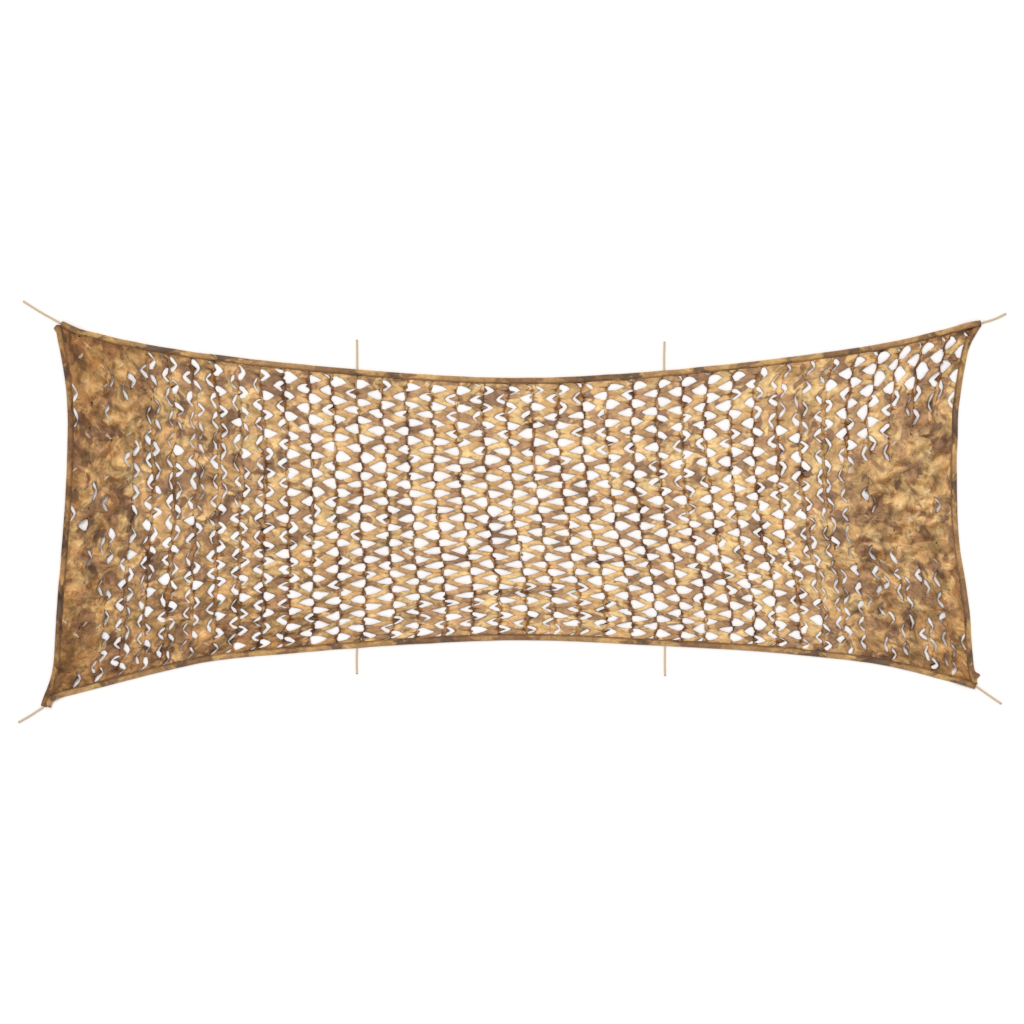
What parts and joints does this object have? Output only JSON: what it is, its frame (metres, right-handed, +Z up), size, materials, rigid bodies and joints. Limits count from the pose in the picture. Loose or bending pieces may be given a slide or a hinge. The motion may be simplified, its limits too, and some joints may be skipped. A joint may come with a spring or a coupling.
{
  "type": "camouflage netting",
  "caption": "Leaf-cut cloth camouflage net laid out flat, drawn open between its bound edges, with tie cords at the corners and along the long edges.",
  "frame": {"origin": "on the ground, under the middle of the box round the net and its bindings", "axes": "+X along the net's long side, to the right of the picture; +Y towards the picture's top edge; +Z up, out of the cloth"},
  "size_m": [4.3101, 1.8437, 0.0184],
  "materials": {
    "net_cloth": "thin matt polyester cloth, printed in tan, sand and brown camouflage, with cut edges",
    "binding_cloth": "the same cloth folded into a narrow strip and stitched",
    "tie_cord": "sand-coloured braided cord with sealed ends"
  },
  "bodies": {
    "root": {"net_panel": "net_cloth", "binding_top": "binding_cloth", "binding_bottom": "binding_cloth", "binding_left": "binding_cloth", "binding_right": "binding_cloth", "tie_corner_top_left": "tie_cord", "tie_corner_top_right": "tie_cord", "tie_corner_bottom_left": "tie_cord", "tie_corner_bottom_right": "tie_cord", "tie_top_left": "tie_cord", "tie_top_right": "tie_cord", "tie_bottom_left": "tie_cord", "tie_bottom_right": "tie_cord"}
  },
  "joints": []
}
